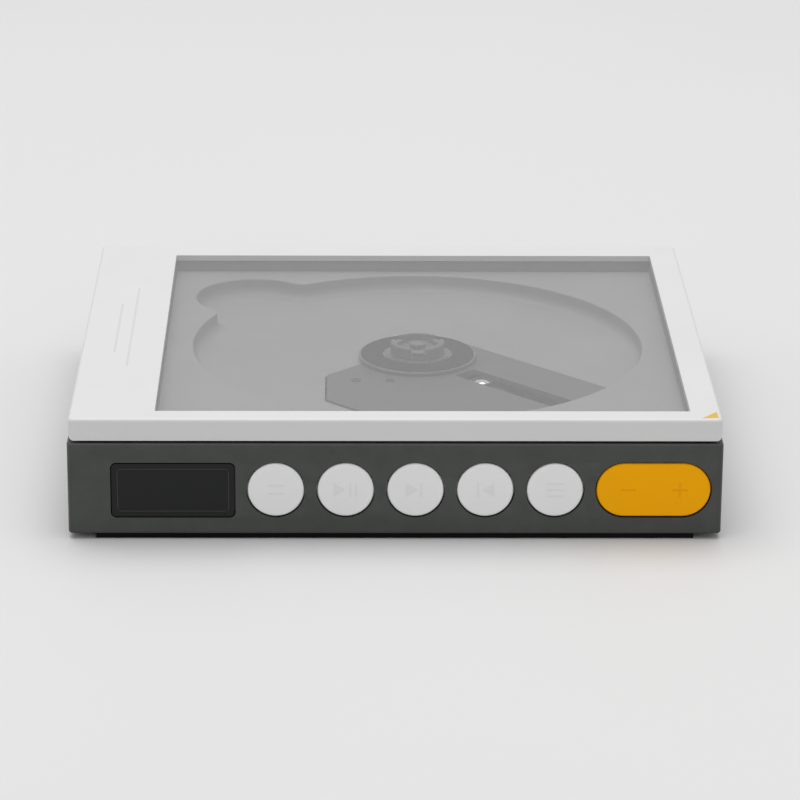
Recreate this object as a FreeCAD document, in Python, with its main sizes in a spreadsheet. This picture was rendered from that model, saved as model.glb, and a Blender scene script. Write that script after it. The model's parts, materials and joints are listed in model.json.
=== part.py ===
"""Portable CD player: dark case, pale hinged lid with a clear window, disc well with its drive mechanism.

Frame: +Z up, the feet stand on Z = 0, X to the right and -Y towards the button face. The origin is the
centre of the object's base. All lengths are in millimetres.
"""
import FreeCAD, Part
import os
import re
import Sketcher
from FreeCAD import Placement, Rotation, Vector

DIMENSIONS = {
    # how far a cutting or joining solid runs past the face that it meets, and a pin's press fit
    "overrun": 1.0, "pin_press": 0.01, "pin_play": 0.03,
    # case and feet
    "case_width": 168.0, "case_depth": 151.0, "foot_height": 1.5, "rim_level": 26.1, "wall": 2.0,
    "floor_sheet": 1.6, "case_corner": 1.2, "case_bottom_round": 0.6, "rim_chamfer": 0.4,
    "foot_long": 154.0, "foot_wide": 7.0, "foot_inset": 0.9, "jack_hole": 3.1, "port_hole_long": 9.7,
    "port_hole_tall": 4.0, "standoff_radius": 2.5, "standoff_pilot": 0.8, "standoff_pilot_deep": 3.0,
    "screw_hole": 1.25, "screw_recess": 2.5, "screw_recess_deep": 0.9,
    # lid
    "lid_bottom": 26.8, "lid_top": 32.65, "lid_inset": 0.4, "lid_sheet": 1.6, "lid_skirt": 1.8,
    "lid_corner": 1.4, "lid_top_round": 0.8, "hinge_round": 2.0,
    "window_left": -61.7, "window_right": 75.7, "window_front": -68.8, "window_back": 65.2,
    "window_gap": 0.05, "window_step": 0.12, "window_wall": 1.5, "window_wall_gap": 0.25,
    "magnet_x": 40.0, "magnet_half": 6.0, "magnet_thick": 2.0, "magnet_front": -72.9, "magnet_up": 1.4,
    "keeper_front": -72.2, "keeper_thick": 3.0, "keeper_base": 23.2,
    # hinge
    "knuckle_x": 58.0, "knuckle_half": 4.0, "knuckle_radius": 1.85, "knuckle_drop": 0.6,
    "knuckle_gap": 0.4, "knuckle_room": 2.4, "lid_knuckle": 2.6, "lid_knuckle_radius": 1.95,
    "lid_knuckle_back": 1.9, "hinge_pin": 0.8, "hinge_pin_long": 13.0, "pin_chamfer": 0.15,
    # deck and disc well
    "deck_level": 27.9, "deck_sheet": 1.6, "deck_edge_x": 80.9, "deck_front": 72.4, "deck_back": 69.9,
    "deck_corner": 1.0, "spindle_x": 7.0, "well_radius": 61.4, "well_floor": 23.2, "well_sheet": 1.4,
    "well_wall": 1.6, "well_round": 2.6, "well_edge": 0.4, "notch_x": -38.5, "notch_y": 41.5,
    "notch_radius": 16.5, "notch_blend": 4.0, "boss_radius": 3.0, "boss_base": 3.3, "boss_pilot": 1.02,
    "boss_pilot_deep": 15.7, "case_screw": 1.0, "case_screw_long": 14.0, "case_head": 2.3,
    "case_head_tall": 0.7, "case_head_base": 1.65,
    # buttons and display
    "control_level": 13.55, "button_radius": 7.23, "button_hole": 7.6, "button_pitch": 17.906,
    "button_first": -30.66, "cap_sink": 0.05, "cap_edge": 0.5, "flange_gap": 0.3,
    "flange": 1.0, "flange_reach": 0.9, "stem_radius": 1.6, "stem_long": 2.3,
    "display_level": 13.4, "display_left": -73.03, "display_wide": 32.05, "display_tall": 15.05,
    "display_gap": 0.35, "display_round": 1.5, "pane_sink": 0.15, "pane_lip": 1.2,
    "pane_lip_front": -73.4, "pane_lip_back": -72.5, "panel_inset": 0.8, "panel_over": 0.4,
    "panel_front": -72.4, "panel_back": -70.8, "panel_round": 0.3,
    # volume rocker
    "rocker_x": 66.3, "rocker_long": 29.3, "rocker_hole_long": 30.04, "rocker_flange_long": 30.9,
    "rocker_flange_tall": 16.66, "rocker_flange_front": -72.7, "rocker_flange_back": -71.9,
    "pivot_y": -70.0, "pivot_pin": 0.8, "pivot_pin_long": 14.6, "pivot_block_half": 2.0,
    "pivot_block_back": -68.6, "pivot_block_up": 5.0, "pad_offset": 7.0, "pad_radius": 1.4,
    "pad_long": 2.25, "bracket_half": 3.0, "bracket_front": -71.3, "bracket_sheet": 2.0,
    # boards, battery and sockets
    "front_board_y": -66.4, "front_board_sheet": 1.2, "front_board_left": -39.0,
    "front_board_right": 80.5, "front_board_low": 5.0, "front_board_high": 24.2, "board_chamfer": 1.0,
    "switch_half": 2.2, "switch_front": -68.4, "plunger_radius": 1.1, "plunger": 0.8,
    "board_sheet": 1.6, "board_level": 6.5, "board_left": -40.0, "board_right": 80.0,
    "board_front": -62.0, "board_back": 70.0, "board_corner": 2.0, "board_hole": 1.1, "boss_room": 3.6,
    "chip_tall": 1.1, "can_radius": 3.1, "can_tall": 5.4, "board_screw": 0.75, "board_screw_deep": 2.8,
    "board_head": 1.9, "board_head_tall": 1.2, "battery_left": -80.0, "battery_right": -43.0,
    "battery_half": 48.0, "battery_base": 3.4, "battery_top": 12.0, "battery_round": 1.8,
    "port_level": 10.3, "jack_x": -28.0, "jack_radius": 1.8, "jack_half": 5.0, "jack_front": 58.0,
    "jack_back": 73.2, "jack_up": 2.8, "jack_collar": 2.9, "jack_collar_long": 2.0, "jack_bore": 15.2,
    "port_x": -6.0, "port_long": 9.1, "port_tall": 3.4, "port_front": 66.5, "port_back": 75.2,
    "port_inner_long": 8.34, "port_inner_tall": 2.6, "port_wall": 1.0, "tongue_half": 3.3,
    "tongue_back": 73.6, "tongue_sheet": 0.7, "port_foot_half": 4.0, "port_foot_back": 72.5,
    "port_foot_drop": 1.5,
    # drive plate, along the pickup's line of travel
    "travel_turn": 45.0, "plate_level": 23.7, "plate_sheet": 1.5, "plate_radius": 61.0, "plate_in": -7.0,
    "plate_low": -42.0, "plate_high": 18.0, "plate_cut": 14.0, "plate_play": 0.35, "plate_hole": 4.6,
    "slot_half": 3.7, "slot_start": 17.6, "beam_start": -4.0, "beam_end": 64.2, "beam_low": 13.0,
    "beam_high": 21.4, "web_start": 0.0, "web_end": 50.0, "main_beam_near": 14.6, "main_beam_far": 17.4,
    "side_beam_near": -24.4, "side_beam_far": -26.8, "near_block": 11.4, "near_block_end": 14.0,
    "far_block": 61.8, "block_high": 20.4, "ear_low": 19.6, "ear_high": 21.2, "bush_hole": 2.9,
    "damper_post": 2.0, "damper_post_base": 17.8, "damper_pilot": 0.87, "damper_pilot_deep": 2.7,
    "bush_radius": 2.8, "bush_base": 18.2, "bush_tall": 3.5, "bush_rim": 4.2, "bush_rim_low": 1.3,
    "bush_rim_high": 0.4, "bush_bore": 2.1, "damper_screw": 0.85, "damper_screw_long": 3.6,
    "damper_screw_base": 16.8, "damper_head": 3.0, "damper_head_tall": 1.0,
    # pickup and its drive
    "rod_level": 18.5, "rod_radius": 1.0, "main_rod": 12.0, "side_rod": -11.0, "rod_start": 12.9,
    "rod_long": 50.8, "rod_end_room": 0.2, "rod_play": 0.05, "screw_line": -20.0, "screw_level": 15.5,
    "screw_radius": 1.25, "screw_start": 7.0, "screw_long": 56.6, "screw_play": 0.05,
    "nut_play": 0.15, "thread_pitch": 3.0, "thread_start": 16.0, "thread_slope": 0.3,
    "thread_flat": 0.9, "thread_deep": 0.3, "thread_rise": 0.2, "motor_room": 6.4,
    "motor_room_start": 1.5, "motor_room_long": 10.0, "sled_motor_radius": 5.8, "sled_motor_long": 8.0,
    "sled_motor_start": 2.0, "sled_start": 16.4, "sled_end": 30.4, "sled_near_side": -14.6,
    "sled_far_side": 14.2, "sled_base": 14.4, "sled_top": 20.7, "nut_start": 18.0, "nut_end": 25.0,
    "nut_side": -23.6, "nut_base": 13.2, "nut_top": 18.6, "lens_place": 24.2, "lens_well": 3.4,
    "lens_well_base": 19.4, "holder_radius": 3.0, "holder_tall": 2.4, "holder_base": 20.4,
    "holder_bore": 2.36, "holder_seat": 21.6, "lens_sphere": 5.2, "lens_top": 23.1,
    "lens_radius": 2.3, "lens_base": 21.65,
    # spindle motor, turntable and hub
    "motor_radius": 9.8, "motor_tall": 7.0, "motor_drop": 7.8, "motor_shoulder": 6.4,
    "motor_boss": 3.0, "motor_boss_tall": 0.7, "motor_bore": 5.0, "shaft_radius": 0.75,
    "shaft_long": 9.4, "shaft_base": 17.6, "shaft_play": 0.04, "platter_radius": 16.1,
    "platter_base": 23.9, "platter_top": 24.8, "platter_edge": 0.25, "platter_boss": 4.0,
    "platter_boss_tall": 0.5, "mat_outer": 15.4, "mat_inner": 9.6, "mat_sheet": 0.3,
    "hub_radius": 7.4, "hub_base": 25.1, "hub_top": 28.5, "hub_skirt": 1.4, "hub_edge": 0.5,
    "hub_wall": 1.3, "hub_dish": 1.7, "hub_boss": 2.2, "hub_boss_tall": 1.1, "hub_bore": 2.3,
    "claw_half": 1.7, "claw_slot_deep": 3.4, "claw_slot_base": 1.5, "claw_gap": 0.3, "claw_back": 2.2,
    "claw_sink": 0.3, "claw_base": 1.6, "claw_drop": 1.0, "claw_edge": 0.3, "toe_back": 0.8,
    "toe_sink": 0.12, "toe_in": 0.5, "toe_low": 1.75, "toe_high": 2.0,
}

ALONG_X = Rotation(Vector(0, 1, 0), 90)
ALONG_Y = Rotation(Vector(1, 0, 0), -90)
ALONG_Z = Rotation()
ROUNDNESS = 1e-4
NEARNESS = 1e-3
BUTTONS = 5
CLAWS = 3
THREADS = 15
FIRST_CLAW = -90
KNUCKLE_SIDES = (-1, 1)

doc = FreeCAD.newDocument("cd_player")
sheet = doc.addObject("Spreadsheet::Sheet", "dims")
for row, (word, value) in enumerate(DIMENSIONS.items(), start=1):
    sheet.set("A%d" % row, word)
    sheet.set("B%d" % row, str(value))
    sheet.setAlias("B%d" % row, word)
doc.recompute()

pieces = []


def bound(words):
    """A spreadsheet expression from plain arithmetic on the dimensions' names."""
    return re.sub(r"[a-z][a-z_]+", lambda found: "dims." + found.group(), str(words))


def size(words):
    """The present value of the same arithmetic."""
    return float(sheet.evalExpression(bound(words)))


def put(feature, at, turn=ALONG_Z):
    """Places a feature at three expressions, turned first."""
    feature.Placement = Placement(Vector(), turn)
    for letter, words in zip("xyz", at):
        feature.setExpression("Placement.Base." + letter, bound(words))
    return feature


def new_body(label):
    """An empty body that becomes one node."""
    body = doc.addObject("PartDesign::Body", label)
    body.Label = label
    pieces.append(body)
    return body


def box(body, low, high, cut=False):
    """Adds or cuts the box between two corners."""
    kind = "PartDesign::SubtractiveBox" if cut else "PartDesign::AdditiveBox"
    feature = body.newObject(kind, "block")
    for side, start, end in zip(("Length", "Width", "Height"), low, high):
        feature.setExpression(side, bound("(%s) - (%s)" % (end, start)))
    put(feature, low)
    doc.recompute()
    return feature


def rod(body, radius, length, at, turn=ALONG_Z, cut=False):
    """Adds or cuts a round rod that starts at a place and runs along its turned axis."""
    kind = "PartDesign::SubtractiveCylinder" if cut else "PartDesign::AdditiveCylinder"
    feature = body.newObject(kind, "round")
    feature.setExpression("Radius", bound(radius))
    feature.setExpression("Height", bound(length))
    put(feature, at, turn)
    doc.recompute()
    return feature


def soften(body, radius, wanted, chamfer=False):
    """Rounds or chamfers the edges of the body that the test wants."""
    names = ["Edge%d" % (number + 1) for number, edge in enumerate(body.Shape.Edges) if wanted(edge)]
    kind = "Chamfer" if chamfer else "Fillet"
    before = body.Tip
    feature = body.newObject("PartDesign::" + kind, kind.lower())
    feature.Base = (before, names)
    feature.setExpression("Size" if chamfer else "Radius", bound(radius))
    body.Tip = feature
    doc.recompute()
    return feature


def straight(edge, direction):
    """True for a straight edge along x, y or z."""
    if len(edge.Vertexes) < 2:
        return False
    run = edge.Vertexes[1].Point - edge.Vertexes[0].Point
    return run.Length > edge.Length - ROUNDNESS and abs(getattr(run, direction)) > run.Length - ROUNDNESS


def near(value, words):
    """True when a measured value is the size that the expression gives."""
    return abs(value - size(words)) < NEARNESS


def group(label, shapes):
    """One node of several separate solids."""
    joined = doc.addObject("Part::Compound", label)
    joined.Label = label
    joined.Links = shapes
    pieces.append(joined)
    return joined


def loose_box(low, high):
    """A box between two corners, outside any body."""
    block = doc.addObject("Part::Box", "block")
    for side, start, end in zip(("Length", "Width", "Height"), low, high):
        block.setExpression(side, bound("(%s) - (%s)" % (end, start)))
    return put(block, low)


def loose_rod(radius, length, at, turn=ALONG_Z):
    """A round rod outside any body."""
    bar = doc.addObject("Part::Cylinder", "bar")
    bar.setExpression("Radius", bound(radius))
    bar.setExpression("Height", bound(length))
    return put(bar, at, turn)


def carved(label, solids, holes=()):
    """A piece made of joined primitives with others cut away."""
    whole = solids[0]
    if len(solids) > 1:
        whole = doc.addObject("Part::MultiFuse", label + "_solid")
        whole.Shapes = solids
    if holes:
        cuts = holes[0]
        if len(holes) > 1:
            cuts = doc.addObject("Part::MultiFuse", label + "_cuts")
            cuts.Shapes = holes
        piece = doc.addObject("Part::Cut", label)
        piece.Base = whole
        piece.Tool = cuts
        whole = piece
    whole.Label = label
    pieces.append(whole)
    return whole


def onto_travel(piece):
    """Turns a piece, drawn with X along the pickup's travel, onto its line through the spindle."""
    piece.Placement = Placement(Vector(), Rotation(Vector(0, 0, -1), size("travel_turn")))
    piece.setExpression("Placement.Rotation.Angle", bound("travel_turn"))
    piece.setExpression("Placement.Base.x", bound("spindle_x"))


def onto_spindle(piece, angle):
    """Stands a piece, drawn about Z, on the spindle's axis at an angle."""
    piece.Placement = Placement(Vector(), Rotation(Vector(0, 0, 1), angle))
    piece.setExpression("Placement.Base.x", bound("spindle_x"))


def stadium(body, long, tall, centre, front, back, cut=False):
    """A pill-shaped prism facing -Y: a box with a round end at each side."""
    x, z = centre
    half_flat = "(%s)/2 - (%s)/2" % (long, tall)
    depth = "(%s) - (%s)" % (back, front)
    box(body, (x + " - (" + half_flat + ")", front, z + " - (%s)/2" % tall),
        (x + " + (" + half_flat + ")", back, z + " + (%s)/2" % tall), cut)
    for sign in ("-", "+"):
        rod(body, "(%s)/2" % tall, depth, (x + sign + "(" + half_flat + ")", front, z), ALONG_Y, cut)


# ---- case ---------------------------------------------------------------------------------------------
FRONT = "-case_depth/2"
BACK = "case_depth/2"
FLOOR = "foot_height + floor_sheet"
HINGE_Y = "(case_depth/2 - lid_inset - hinge_round)"
HINGE_Z = "(lid_bottom + hinge_round)"
DECK_BOSSES = (("-72", "-58"), ("74", "-50"), ("-72", "58"), ("74", "58"))
EAR_CENTRES = (("-12", "-22.5"), ("23", "-49"), ("23", "25"))
EAR_PLATES = (("-17", "-27.5", "-1.5", "-17.5"), ("18", "-54", "28", "-38"), ("18", "14.6", "28", "30"))
EAR_WEBS = (("-6.6", "-27.5", "-1.5", "-17.5"), ("18", "-41.6", "28", "-38"))
STANDOFFS = (("-34", "-52"), ("72", "-40"), ("-34", "52"), ("64", "60"))
CHIPS = (("-20", "-40", "5"), ("52", "30", "6"), ("-24", "20", "4"), ("40", "-44", "3.5"))
CAPACITORS = (("14", "58"), ("24", "58"), ("34", "58"))
CASE_INSIDE = FRONT + " + wall"
BUTTON_PLACES = ["(button_first + %d*button_pitch)" % index for index in range(BUTTONS)]
DISPLAY_LOW = "(display_level - display_tall/2)"
DISPLAY_HIGH = "(display_level + display_tall/2)"
WELL_BASE = "(well_floor - well_sheet)"
DECK_UNDER = "(deck_level - deck_sheet)"
LID_UNDER = "(lid_top - lid_sheet)"
BOARD_TOP = "(board_level + board_sheet)"
PLATE_UNDER = "(plate_level - plate_sheet)"


def build_bottom_shell():
    shell = new_body("bottom_shell")
    box(shell, ("-case_width/2", FRONT, "foot_height"), ("case_width/2", BACK, "rim_level"))
    soften(shell, "case_corner", lambda edge: straight(edge, "z"))
    soften(shell, "case_bottom_round", lambda edge: near(edge.BoundBox.ZMax, "foot_height"))
    soften(shell, "rim_chamfer", lambda edge: near(edge.BoundBox.ZMin, "rim_level"), chamfer=True)
    box(shell, ("wall - case_width/2", CASE_INSIDE, FLOOR),
        ("case_width/2 - wall", BACK + " - wall", "rim_level + overrun"), cut=True)
    before = FRONT + " - overrun"
    inside = CASE_INSIDE + " + overrun"
    for x in BUTTON_PLACES:
        rod(shell, "button_hole", "wall + 2*overrun", (x, before, "control_level"), ALONG_Y, cut=True)
    stadium(shell, "rocker_hole_long", "2*button_hole", ("rocker_x", "control_level"), before, inside,
            cut=True)
    box(shell, ("display_left", before, DISPLAY_LOW), ("display_left + display_wide", inside, DISPLAY_HIGH),
        cut=True)
    soften(shell, "display_round",
           lambda edge: straight(edge, "y") and near(edge.Length, "wall")
           and (near(edge.BoundBox.XMin, "display_left")
                or near(edge.BoundBox.XMin, "display_left + display_wide")))
    rod(shell, "jack_hole", "wall + 2*overrun", ("jack_x", BACK + " - wall - overrun", "port_level"), ALONG_Y,
        cut=True)
    stadium(shell, "port_hole_long", "port_hole_tall", ("port_x", "port_level"),
            BACK + " - wall - overrun", BACK + " + overrun", cut=True)
    for x, y in STANDOFFS:
        rod(shell, "standoff_radius", "board_level - (%s)" % FLOOR, (x, y, FLOOR))
        rod(shell, "standoff_pilot", "standoff_pilot_deep", (x, y, "board_level - standoff_pilot_deep"),
            cut=True)
    for x, y in DECK_BOSSES:
        below = (x, y, "foot_height - overrun")
        rod(shell, "screw_hole", "floor_sheet + 2*overrun", below, cut=True)
        rod(shell, "screw_recess", "screw_recess_deep + overrun", below, cut=True)


def build_deck():
    deck = new_body("deck")
    box(deck, ("-deck_edge_x", "-deck_front", DECK_UNDER), ("deck_edge_x", "deck_back", "deck_level"))
    soften(deck, "deck_corner", lambda edge: straight(edge, "z"))
    wells = (("well_radius", "spindle_x", "0"), ("notch_radius", "notch_x", "notch_y"))
    for radius, x, y in wells:
        rod(deck, radius + " + well_wall", "deck_level - " + WELL_BASE, (x, y, WELL_BASE))
    for radius, x, y in wells:
        rod(deck, radius, "deck_level - well_floor + overrun", (x, y, "well_floor"), cut=True)
    soften(deck, "notch_blend",
           lambda edge: straight(edge, "z") and near(edge.BoundBox.ZMin, "well_floor"))
    soften(deck, "well_round",
           lambda edge: near(edge.BoundBox.ZMax, "well_floor") and edge.Length > size("notch_blend"))
    inner = size("deck_edge_x - 2*deck_corner")
    soften(deck, "well_edge", lambda edge: near(edge.BoundBox.ZMin, "deck_level")
           and -inner < edge.BoundBox.XMin and edge.BoundBox.XMax < inner)
    for x, y in DECK_BOSSES:
        rod(deck, "boss_radius", DECK_UNDER + " - boss_base", (x, y, "boss_base"))
        rod(deck, "boss_pilot", "boss_pilot_deep + overrun", (x, y, "boss_base - overrun"), cut=True)
    for side in KNUCKLE_SIDES:
        centre = "%d*knuckle_x" % side
        rod(deck, "knuckle_radius", "2*knuckle_half", (centre + " - knuckle_half", HINGE_Y, HINGE_Z), ALONG_X)
        box(deck, (centre + " - knuckle_half", "deck_back - overrun", DECK_UNDER),
            (centre + " + knuckle_half", HINGE_Y, "deck_level - knuckle_drop"))
        box(deck, (centre + " - knuckle_half", HINGE_Y + " - knuckle_radius", DECK_UNDER),
            (centre + " + knuckle_half", HINGE_Y, HINGE_Z))
        rod(deck, "hinge_pin + pin_play", "2*(knuckle_half + overrun)",
            (centre + " - knuckle_half - overrun", HINGE_Y, HINGE_Z), ALONG_X, cut=True)
    return deck


def mechanism_outline(label, base, height, grow, radius):
    """The drive plate's prism: a rectangle with one corner cut off, kept inside the well's circle."""
    body = doc.addObject("PartDesign::Body", label)
    body.Label = label
    plane = [item for item in body.Origin.OriginFeatures if item.Role == "XY_Plane"][0]
    sketch = body.newObject("Sketcher::SketchObject", "outline")
    sketch.AttachmentSupport = (plane, [""])
    sketch.MapMode = "FlatFace"
    sketch.setExpression("AttachmentOffset.Base.z", bound(base))
    left = "plate_in - (%s)" % grow
    low = "plate_low - (%s)" % grow
    high = "plate_high + (%s)" % grow
    far = "plate_radius + overrun"
    corner = "plate_cut"
    places = ((left, high), (left, "%s + %s" % (low, corner)), ("%s + %s" % (left, corner), low),
              (far, low), (far, high))
    polygon(sketch, places)
    pad = body.newObject("PartDesign::Pad", "sheet")
    pad.Profile = sketch
    pad.setExpression("Length", bound(height))
    doc.recompute()
    disc = loose_rod(radius, height, ("0", "0", base))
    shared = doc.addObject("Part::Common", label + "_common")
    shared.Base = body
    shared.Tool = disc
    doc.recompute()
    return shared


def polygon(sketch, places):
    """A closed outline whose corners are held at expressions."""
    corners = [(size(x), size(y)) for x, y in places]
    count = len(corners)
    for index, start in enumerate(corners):
        end = corners[(index + 1) % count]
        sketch.addGeometry(Part.LineSegment(Vector(*start, 0), Vector(*end, 0)), False)
    for index in range(count):
        sketch.addConstraint(Sketcher.Constraint("Coincident", index, 2, (index + 1) % count, 1))
    for index, (words, corner) in enumerate(zip(places, corners)):
        for kind, expression, value in zip(("DistanceX", "DistanceY"), words, corner):
            number = sketch.addConstraint(Sketcher.Constraint(kind, -1, 1, index, 1, value))
            sketch.setExpression("Constraints[%d]" % number, bound(expression))


def build_opened_deck():
    """The deck with the drive plate's opening cut through the well floor and its three damper bosses."""
    moulding = build_deck()
    pieces.remove(moulding)
    moulding.Label = "deck_moulding"
    window = mechanism_outline("deck_window", WELL_BASE + " - overrun", "well_sheet + 2*overrun + well_round",
                               "plate_play", "well_radius")
    onto_travel(window)
    height = "well_floor - well_sheet/2 - damper_post_base"
    posts = [loose_rod("damper_post", height, (x, y, "damper_post_base")) for x, y in EAR_CENTRES]
    pilots = [loose_rod("damper_pilot", "damper_pilot_deep + overrun", (x, y, "damper_post_base - overrun"))
              for x, y in EAR_CENTRES]
    bosses = carved("damper_bosses", posts, pilots)
    pieces.remove(bosses)
    onto_travel(bosses)
    opened = doc.addObject("Part::Cut", "deck_opened")
    opened.Base = moulding
    opened.Tool = window
    deck = doc.addObject("Part::Fuse", "deck")
    deck.Label = "deck"
    deck.Base = opened
    deck.Tool = bosses
    pieces.append(deck)


# ---- lid ----------------------------------------------------------------------------------------------
def build_lid_frame():
    lid = new_body("lid_frame")
    half_x = "(case_width/2 - lid_inset)"
    half_y = "(case_depth/2 - lid_inset)"
    box(lid, ("-" + half_x, "-" + half_y, "lid_bottom"), (half_x, half_y, "lid_top"))
    soften(lid, "hinge_round", lambda edge: straight(edge, "x") and near(edge.BoundBox.YMax, half_y)
           and near(edge.BoundBox.ZMin, "lid_bottom"))
    soften(lid, "lid_corner", lambda edge: straight(edge, "z"))
    soften(lid, "lid_top_round", lambda edge: near(edge.BoundBox.ZMin, "lid_top"))
    below = "lid_bottom - overrun"
    box(lid, ("lid_skirt - " + half_x, "lid_skirt - " + half_y, below),
        (half_x + " - lid_skirt", half_y + " - lid_skirt", LID_UNDER), cut=True)
    wall_low = "deck_level + window_wall_gap"
    box(lid, ("window_left - window_wall", "window_front - window_wall", wall_low),
        ("window_right + window_wall", "window_back + window_wall", "lid_top - lid_sheet/2"))
    box(lid, ("window_left", "window_front", below), ("window_right", "window_back", "lid_top + overrun"),
        cut=True)
    for side in KNUCKLE_SIDES:
        centre = "%d*knuckle_x" % side
        box(lid, (centre + " - knuckle_half - knuckle_gap", HINGE_Y + " - knuckle_room", below),
            (centre + " + knuckle_half + knuckle_gap", half_y + " + overrun", LID_UNDER), cut=True)
        for start in (" - knuckle_half - knuckle_gap - lid_knuckle", " + knuckle_half + knuckle_gap"):
            left = centre + start
            rod(lid, "lid_knuckle_radius", "lid_knuckle", (left, HINGE_Y, HINGE_Z), ALONG_X)
            box(lid, (left, HINGE_Y + " - lid_knuckle_back", HINGE_Z),
                (left + " + lid_knuckle", half_y + " - lid_skirt/2", "lid_top - lid_sheet/2"))
        rod(lid, "hinge_pin + pin_press", "hinge_pin_long + overrun",
            (centre + " - (hinge_pin_long + overrun)/2", HINGE_Y, HINGE_Z), ALONG_X, cut=True)


def build_lid_details():
    pane = new_body("lid_window")
    box(pane, ("window_left + window_gap", "window_front + window_gap", LID_UNDER),
        ("window_right - window_gap", "window_back - window_gap", "lid_top - window_step"))
    for side, name in zip(KNUCKLE_SIDES, ("left", "right")):
        pin = new_body("hinge_pin_" + name)
        rod(pin, "hinge_pin", "hinge_pin_long",
            ("%d*knuckle_x - hinge_pin_long/2" % side, HINGE_Y, HINGE_Z), ALONG_X)
        soften(pin, "pin_chamfer", lambda edge: True, chamfer=True)
    for label, front, thick, base, top in (
            ("lid_magnets", "magnet_front", "magnet_thick", "lid_bottom + magnet_up", LID_UNDER),
            ("case_magnets", "keeper_front", "keeper_thick", "keeper_base", DECK_UNDER)):
        back = front + " + " + thick
        group(label, [loose_box((x + " - magnet_half", front, base), (x + " + magnet_half", back, top))
                      for x in ("-magnet_x", "magnet_x")])


# ---- controls -----------------------------------------------------------------------------------------
def build_buttons():
    face = FRONT + " + cap_sink"
    inside = CASE_INSIDE + " + flange_gap"
    for number, x in enumerate(BUTTON_PLACES, start=1):
        cap = new_body("button_%d" % number)
        rod(cap, "button_radius", "wall + flange_gap - cap_sink", (x, face, "control_level"), ALONG_Y)
        soften(cap, "cap_edge", lambda edge: near(edge.BoundBox.YMax, face))
        rod(cap, "button_hole + flange_reach", "flange", (x, inside, "control_level"), ALONG_Y)
        rod(cap, "stem_radius", "stem_long", (x, inside + " + flange", "control_level"), ALONG_Y)


def build_volume():
    rocker = new_body("volume_rocker")
    centre = ("rocker_x", "control_level")
    face = FRONT + " + cap_sink"
    stadium(rocker, "rocker_long", "2*button_radius", centre, face, "rocker_flange_front")
    soften(rocker, "cap_edge", lambda edge: near(edge.BoundBox.YMax, face))
    stadium(rocker, "rocker_flange_long", "rocker_flange_tall", centre, "rocker_flange_front",
            "rocker_flange_back")
    box(rocker, ("rocker_x - pivot_block_half", "rocker_flange_back", "control_level - pivot_block_up"),
        ("rocker_x + pivot_block_half", "pivot_block_back", "control_level + pivot_block_up"))
    rod(rocker, "pivot_pin + pin_play", "2*(pivot_block_up + overrun)",
        ("rocker_x", "pivot_y", "control_level - pivot_block_up - overrun"), cut=True)
    for sign in ("-", "+"):
        rod(rocker, "pad_radius", "pad_long",
            ("rocker_x %s pad_offset" % sign, "rocker_flange_back", "control_level"), ALONG_Y)
    pin = new_body("rocker_pin")
    rod(pin, "pivot_pin", "pivot_pin_long", ("rocker_x", "pivot_y", "control_level - pivot_pin_long/2"))
    ears = []
    for low in ("control_level - pivot_pin_long/2", "control_level + pivot_pin_long/2 - bracket_sheet"):
        ear = doc.addObject("Part::Cut", "ear")
        ear.Base = loose_box(("rocker_x - bracket_half", "bracket_front", low),
                             ("rocker_x + bracket_half", "front_board_y", low + " + bracket_sheet"))
        ear.Tool = loose_rod("pivot_pin + pin_press", "bracket_sheet + 2*overrun",
                             ("rocker_x", "pivot_y", low + " - overrun"))
        ears.append(ear)
    group("rocker_bracket", ears)


def build_front_board():
    board = new_body("front_board")
    box(board, ("front_board_left", "front_board_y", "front_board_low"),
        ("front_board_right", "front_board_y + front_board_sheet", "front_board_high"))
    soften(board, "board_chamfer", lambda edge: straight(edge, "y"), chamfer=True)
    switches = []
    for x in BUTTON_PLACES + ["(rocker_x - pad_offset)", "(rocker_x + pad_offset)"]:
        case = loose_box((x + " - switch_half", "switch_front", "control_level - switch_half"),
                         (x + " + switch_half", "front_board_y", "control_level + switch_half"))
        button = loose_rod("plunger_radius", "plunger", (x, "switch_front - plunger", "control_level"),
                           ALONG_Y)
        switch = doc.addObject("Part::Fuse", "switch")
        switch.Base = case
        switch.Tool = button
        switches.append(switch)
    group("tact_switches", switches)


def build_display():
    right = "display_left + display_wide"
    glass = new_body("display_window")
    box(glass, ("display_left + display_gap", FRONT + " + pane_sink", DISPLAY_LOW + " + display_gap"),
        (right + " - display_gap", "pane_lip_front", DISPLAY_HIGH + " - display_gap"))
    soften(glass, "display_round - display_gap", lambda edge: straight(edge, "y"))
    box(glass, ("display_left - pane_lip", "pane_lip_front", DISPLAY_LOW + " - pane_lip"),
        (right + " + pane_lip", "pane_lip_back", DISPLAY_HIGH + " + pane_lip"))
    panel = new_body("display_panel")
    box(panel, ("display_left + panel_inset", "panel_front", DISPLAY_LOW + " - panel_over"),
        (right + " - panel_inset", "panel_back", DISPLAY_HIGH + " + panel_over"))
    soften(panel, "panel_round", lambda edge: straight(edge, "y"))


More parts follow.
